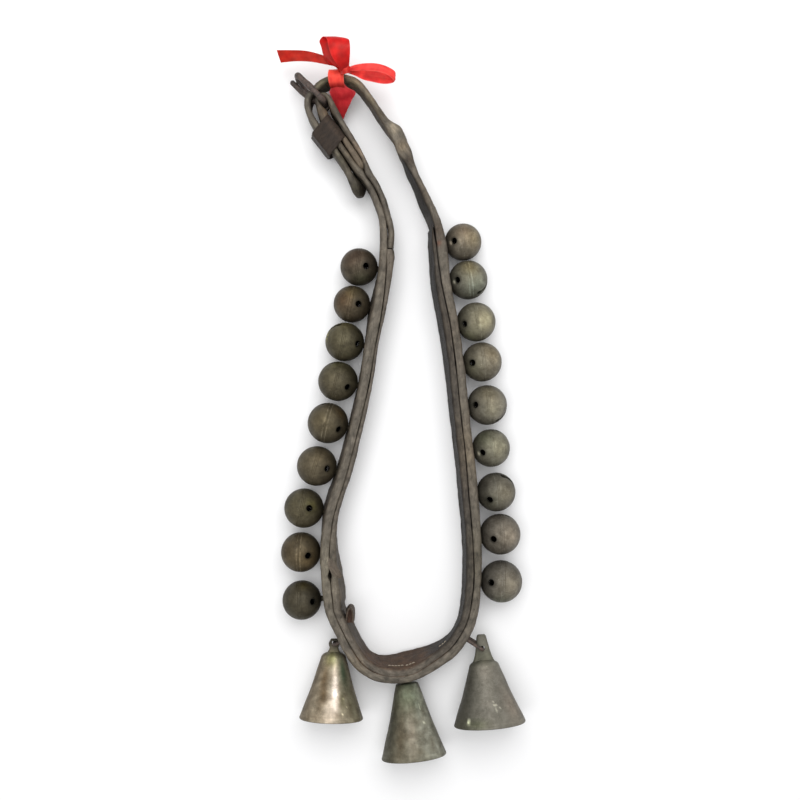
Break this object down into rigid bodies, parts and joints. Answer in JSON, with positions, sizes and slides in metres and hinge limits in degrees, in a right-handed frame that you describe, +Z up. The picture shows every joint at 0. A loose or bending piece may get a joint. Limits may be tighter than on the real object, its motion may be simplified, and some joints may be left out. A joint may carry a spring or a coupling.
{
  "type": "sleigh bell strap",
  "caption": "Leather horse neck strap in a buckled teardrop loop, with round crotal bells along both sides, open clapper bells at the bottom and a red ribbon bow.",
  "frame": {"origin": "middle of the bounding box's underside, on the table the strap lies on", "axes": "+Z up, the strap stands on its edge; +Y from the clapper bells to the buckle, the longest extent; +X across the loop to the side away from the keeper"},
  "size_m": [0.2009, 0.5816, 0.0566],
  "materials": {
    "outer_leather": "dry, worn and taupe, 19th-century harness leather",
    "liner_leather": "dark brown, dry, reddish at the bottom",
    "crotal_bronze": "olive-brown patina with brassy wear",
    "cone_bronze": "mottled patina, beige brass to grey-green",
    "iron": "dark brown, lightly rusted",
    "satin": "red satin ribbon"
  },
  "bodies": {
    "strap": {"outer_strap": "outer_leather", "liner_strap": "liner_leather", "shank_wire_left": "iron", "shank_wire_right": "iron", "link_left": "iron", "link_middle": "iron", "link_right": "iron", "keeper_loop": "outer_leather", "ribbon_knot": "satin", "ribbon_upper_loop": "satin", "ribbon_right_loop": "satin", "ribbon_left_tail": "satin", "ribbon_lower_tail": "satin"},
    "cone_bell_left": {"cone_bell_left": "cone_bronze", "clapper_pin_left": "iron"},
    "clapper_left": {"clapper_left": "iron"},
    "cone_bell_middle": {"cone_bell_middle": "cone_bronze", "clapper_pin_middle": "iron"},
    "clapper_middle": {"clapper_middle": "iron"},
    "cone_bell_right": {"cone_bell_right": "cone_bronze", "clapper_pin_right": "iron"},
    "clapper_right": {"clapper_right": "iron"},
    "buckle_frame": {"buckle_frame": "iron"},
    "buckle_tongue": {"buckle_tongue": "iron"},
    "crotal_left_1": {"crotal_left_1": "crotal_bronze"},
    "pellet_left_1": {"pellet_left_1": "iron"},
    "crotal_left_2": {"crotal_left_2": "crotal_bronze"},
    "pellet_left_2": {"pellet_left_2": "iron"},
    "crotal_left_3": {"crotal_left_3": "crotal_bronze"},
    "pellet_left_3": {"pellet_left_3": "iron"},
    "crotal_left_4": {"crotal_left_4": "crotal_bronze"},
    "pellet_left_4": {"pellet_left_4": "iron"},
    "crotal_left_5": {"crotal_left_5": "crotal_bronze"},
    "pellet_left_5": {"pellet_left_5": "iron"},
    "crotal_left_6": {"crotal_left_6": "crotal_bronze"},
    "pellet_left_6": {"pellet_left_6": "iron"},
    "crotal_left_7": {"crotal_left_7": "crotal_bronze"},
    "pellet_left_7": {"pellet_left_7": "iron"},
    "crotal_left_8": {"crotal_left_8": "crotal_bronze"},
    "pellet_left_8": {"pellet_left_8": "iron"},
    "crotal_left_9": {"crotal_left_9": "crotal_bronze"},
    "pellet_left_9": {"pellet_left_9": "iron"},
    "crotal_right_1": {"crotal_right_1": "crotal_bronze"},
    "pellet_right_1": {"pellet_right_1": "iron"},
    "crotal_right_2": {"crotal_right_2": "crotal_bronze"},
    "pellet_right_2": {"pellet_right_2": "iron"},
    "crotal_right_3": {"crotal_right_3": "crotal_bronze"},
    "pellet_right_3": {"pellet_right_3": "iron"},
    "crotal_right_4": {"crotal_right_4": "crotal_bronze"},
    "pellet_right_4": {"pellet_right_4": "iron"},
    "crotal_right_5": {"crotal_right_5": "crotal_bronze"},
    "pellet_right_5": {"pellet_right_5": "iron"},
    "crotal_right_6": {"crotal_right_6": "crotal_bronze"},
    "pellet_right_6": {"pellet_right_6": "iron"},
    "crotal_right_7": {"crotal_right_7": "crotal_bronze"},
    "pellet_right_7": {"pellet_right_7": "iron"},
    "crotal_right_8": {"crotal_right_8": "crotal_bronze"},
    "pellet_right_8": {"pellet_right_8": "iron"},
    "crotal_right_9": {"crotal_right_9": "crotal_bronze"},
    "pellet_right_9": {"pellet_right_9": "iron"}
  },
  "joints": [
    {"name": "cone_bell_left_swing", "type": "hinge", "parent": "strap", "child": "cone_bell_left", "pos_m": [-0.0547, -0.1961, 0.01528], "axis": [0, 0, 1], "range_deg": [-25, 5]},
    {"name": "cone_bell_middle_swing", "type": "hinge", "parent": "strap", "child": "cone_bell_middle", "pos_m": [0.0047, -0.2262, 0.01448], "axis": [0, 0, 1], "range_deg": [-15, 15]},
    {"name": "cone_bell_right_swing", "type": "hinge", "parent": "strap", "child": "cone_bell_right", "pos_m": [0.0667, -0.1996, 0.01777], "axis": [0, 0, 1], "range_deg": [-15, 15]},
    {"name": "clapper_left_swing", "type": "hinge", "parent": "cone_bell_left", "child": "clapper_left", "pos_m": [-0.05515, -0.21136, 0.01797], "axis": [-0.9996, 0.0297, 0], "range_deg": [0, 41.7]},
    {"name": "clapper_middle_swing", "type": "hinge", "parent": "cone_bell_middle", "child": "clapper_middle", "pos_m": [0.00599, -0.2389, 0.01696], "axis": [-0.9949, -0.1011, 0], "range_deg": [0, 41]},
    {"name": "clapper_right_swing", "type": "hinge", "parent": "cone_bell_right", "child": "clapper_right", "pos_m": [0.06824, -0.21723, 0.02106], "axis": [-0.9962, -0.0872, 0], "range_deg": [0, 52.1]},
    {"name": "buckle_frame_tilt", "type": "hinge", "parent": "strap", "child": "buckle_frame", "pos_m": [-0.0626, 0.2447, 0.0178], "axis": [0, 0, 1], "range_deg": [-6, 6]},
    {"name": "buckle_tongue_swing", "type": "hinge", "parent": "buckle_frame", "child": "buckle_tongue", "pos_m": [-0.0626, 0.2447, 0.0178], "axis": [0, 0, 1], "range_deg": [0, 9]},
    {"name": "crotal_left_1_turn", "type": "hinge", "parent": "strap", "child": "crotal_left_1", "pos_m": [-0.0343, 0.1125, 0.0153], "axis": [0.9925, -0.1219, 0], "range_deg": [-8, 8]},
    {"name": "crotal_left_2_turn", "type": "hinge", "parent": "strap", "child": "crotal_left_2", "pos_m": [-0.0401, 0.0821, 0.0151], "axis": [0.9826, -0.1857, 0], "range_deg": [-8, 8]},
    {"name": "crotal_left_3_turn", "type": "hinge", "parent": "strap", "child": "crotal_left_3", "pos_m": [-0.046, 0.051, 0.0159], "axis": [0.9842, -0.1771, 0], "range_deg": [-8, 8]},
    {"name": "crotal_left_4_turn", "type": "hinge", "parent": "strap", "child": "crotal_left_4", "pos_m": [-0.0515, 0.0187, 0.0162], "axis": [0.9792, -0.2028, 0], "range_deg": [-8, 8]},
    {"name": "crotal_left_5_turn", "type": "hinge", "parent": "strap", "child": "crotal_left_5", "pos_m": [-0.0597, -0.0155, 0.0166], "axis": [0.9707, -0.2402, 0], "range_deg": [-8, 8]},
    {"name": "crotal_left_6_turn", "type": "hinge", "parent": "strap", "child": "crotal_left_6", "pos_m": [-0.0688, -0.0507, 0.0163], "axis": [0.9622, -0.2723, 0], "range_deg": [-8, 8]},
    {"name": "crotal_left_7_turn", "type": "hinge", "parent": "strap", "child": "crotal_left_7", "pos_m": [-0.0794, -0.0852, 0.0161], "axis": [0.9833, -0.1822, 0], "range_deg": [-8, 8]},
    {"name": "crotal_left_8_turn", "type": "hinge", "parent": "strap", "child": "crotal_left_8", "pos_m": [-0.0819, -0.1212, 0.0162], "axis": [0.9997, -0.0227, 0], "range_deg": [-8, 8]},
    {"name": "crotal_left_9_turn", "type": "hinge", "parent": "strap", "child": "crotal_left_9", "pos_m": [-0.0811, -0.1606, 0.0159], "axis": [0.9968, 0.0802, 0], "range_deg": [-8, 8]},
    {"name": "crotal_right_1_turn", "type": "hinge", "parent": "strap", "child": "crotal_right_1", "pos_m": [0.051, 0.133, 0.0151], "axis": [-0.9914, -0.1305, 0], "range_deg": [-8, 8]},
    {"name": "crotal_right_2_turn", "type": "hinge", "parent": "strap", "child": "crotal_right_2", "pos_m": [0.0551, 0.1018, 0.0159], "axis": [-0.9871, -0.1599, 0], "range_deg": [-8, 8]},
    {"name": "crotal_right_3_turn", "type": "hinge", "parent": "strap", "child": "crotal_right_3", "pos_m": [0.0616, 0.0674, 0.016], "axis": [-0.986, -0.1668, 0], "range_deg": [-8, 8]},
    {"name": "crotal_right_4_turn", "type": "hinge", "parent": "strap", "child": "crotal_right_4", "pos_m": [0.0665, 0.0346, 0.0161], "axis": [-0.9914, -0.1305, 0], "range_deg": [-8, 8]},
    {"name": "crotal_right_5_turn", "type": "hinge", "parent": "strap", "child": "crotal_right_5", "pos_m": [0.0706, -0.0007, 0.0163], "axis": [-0.9945, -0.1045, 0], "range_deg": [-8, 8]},
    {"name": "crotal_right_6_turn", "type": "hinge", "parent": "strap", "child": "crotal_right_6", "pos_m": [0.0739, -0.036, 0.0155], "axis": [-0.9947, -0.1028, 0], "range_deg": [-8, 8]},
    {"name": "crotal_right_7_turn", "type": "hinge", "parent": "strap", "child": "crotal_right_7", "pos_m": [0.078, -0.072, 0.0159], "axis": [-0.9945, -0.1045, 0], "range_deg": [-8, 8]},
    {"name": "crotal_right_8_turn", "type": "hinge", "parent": "strap", "child": "crotal_right_8", "pos_m": [0.0813, -0.1065, 0.0166], "axis": [-0.9984, -0.0558, 0], "range_deg": [-8, 8]},
    {"name": "crotal_right_9_turn", "type": "hinge", "parent": "strap", "child": "crotal_right_9", "pos_m": [0.0821, -0.145, 0.0171], "axis": [-0.9998, 0.0175, 0], "range_deg": [-8, 8]},
    {"name": "pellet_left_1_roll", "type": "hinge", "parent": "crotal_left_1", "child": "pellet_left_1", "pos_m": [-0.0343, 0.1125, 0.0153], "axis": [0.9925, -0.1219, 0], "continuous": true},
    {"name": "pellet_left_2_roll", "type": "hinge", "parent": "crotal_left_2", "child": "pellet_left_2", "pos_m": [-0.0401, 0.0821, 0.0151], "axis": [0.9826, -0.1857, 0], "continuous": true},
    {"name": "pellet_left_3_roll", "type": "hinge", "parent": "crotal_left_3", "child": "pellet_left_3", "pos_m": [-0.046, 0.051, 0.0159], "axis": [0.9842, -0.1771, 0], "continuous": true},
    {"name": "pellet_left_4_roll", "type": "hinge", "parent": "crotal_left_4", "child": "pellet_left_4", "pos_m": [-0.0515, 0.0187, 0.0162], "axis": [0.9792, -0.2028, 0], "continuous": true},
    {"name": "pellet_left_5_roll", "type": "hinge", "parent": "crotal_left_5", "child": "pellet_left_5", "pos_m": [-0.0597, -0.0155, 0.0166], "axis": [0.9707, -0.2402, 0], "continuous": true},
    {"name": "pellet_left_6_roll", "type": "hinge", "parent": "crotal_left_6", "child": "pellet_left_6", "pos_m": [-0.0688, -0.0507, 0.0163], "axis": [0.9622, -0.2723, 0], "continuous": true},
    {"name": "pellet_left_7_roll", "type": "hinge", "parent": "crotal_left_7", "child": "pellet_left_7", "pos_m": [-0.0794, -0.0852, 0.0161], "axis": [0.9833, -0.1822, 0], "continuous": true},
    {"name": "pellet_left_8_roll", "type": "hinge", "parent": "crotal_left_8", "child": "pellet_left_8", "pos_m": [-0.0819, -0.1212, 0.0162], "axis": [0.9997, -0.0227, 0], "continuous": true},
    {"name": "pellet_left_9_roll", "type": "hinge", "parent": "crotal_left_9", "child": "pellet_left_9", "pos_m": [-0.0811, -0.1606, 0.0159], "axis": [0.9968, 0.0802, 0], "continuous": true},
    {"name": "pellet_right_1_roll", "type": "hinge", "parent": "crotal_right_1", "child": "pellet_right_1", "pos_m": [0.051, 0.133, 0.0151], "axis": [-0.9914, -0.1305, 0], "continuous": true},
    {"name": "pellet_right_2_roll", "type": "hinge", "parent": "crotal_right_2", "child": "pellet_right_2", "pos_m": [0.0551, 0.1018, 0.0159], "axis": [-0.9871, -0.1599, 0], "continuous": true},
    {"name": "pellet_right_3_roll", "type": "hinge", "parent": "crotal_right_3", "child": "pellet_right_3", "pos_m": [0.0616, 0.0674, 0.016], "axis": [-0.986, -0.1668, 0], "continuous": true},
    {"name": "pellet_right_4_roll", "type": "hinge", "parent": "crotal_right_4", "child": "pellet_right_4", "pos_m": [0.0665, 0.0346, 0.0161], "axis": [-0.9914, -0.1305, 0], "continuous": true},
    {"name": "pellet_right_5_roll", "type": "hinge", "parent": "crotal_right_5", "child": "pellet_right_5", "pos_m": [0.0706, -0.0007, 0.0163], "axis": [-0.9945, -0.1045, 0], "continuous": true},
    {"name": "pellet_right_6_roll", "type": "hinge", "parent": "crotal_right_6", "child": "pellet_right_6", "pos_m": [0.0739, -0.036, 0.0155], "axis": [-0.9947, -0.1028, 0], "continuous": true},
    {"name": "pellet_right_7_roll", "type": "hinge", "parent": "crotal_right_7", "child": "pellet_right_7", "pos_m": [0.078, -0.072, 0.0159], "axis": [-0.9945, -0.1045, 0], "continuous": true},
    {"name": "pellet_right_8_roll", "type": "hinge", "parent": "crotal_right_8", "child": "pellet_right_8", "pos_m": [0.0813, -0.1065, 0.0166], "axis": [-0.9984, -0.0558, 0], "continuous": true},
    {"name": "pellet_right_9_roll", "type": "hinge", "parent": "crotal_right_9", "child": "pellet_right_9", "pos_m": [0.0821, -0.145, 0.0171], "axis": [-0.9998, 0.0175, 0], "continuous": true}
  ]
}
